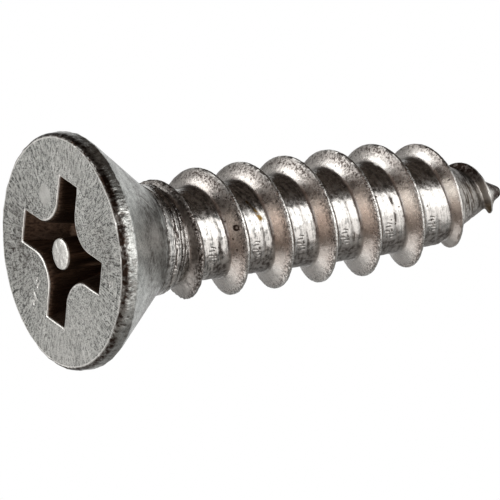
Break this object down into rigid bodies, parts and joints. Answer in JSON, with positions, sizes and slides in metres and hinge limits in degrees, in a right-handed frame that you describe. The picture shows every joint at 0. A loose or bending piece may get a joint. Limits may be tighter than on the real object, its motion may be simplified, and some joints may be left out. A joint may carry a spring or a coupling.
{
  "type": "sheet metal screw",
  "caption": "Flat head sheet metal screw with a coarse right-hand spaced thread, a gimlet point and a tamper-resistant cross recess with a centre pin.",
  "frame": {"origin": "centre of the flat head face", "axes": "+Z along the screw's axis from the head face to the point; two recess wings along X and two along Y"},
  "size_m": [0.0118, 0.0118, 0.0253],
  "materials": {
    "stainless_steel": "cold headed, thread rolled, tumbled and passivated stainless steel, satin"
  },
  "bodies": {
    "root": {"screw": "stainless_steel"}
  },
  "joints": []
}
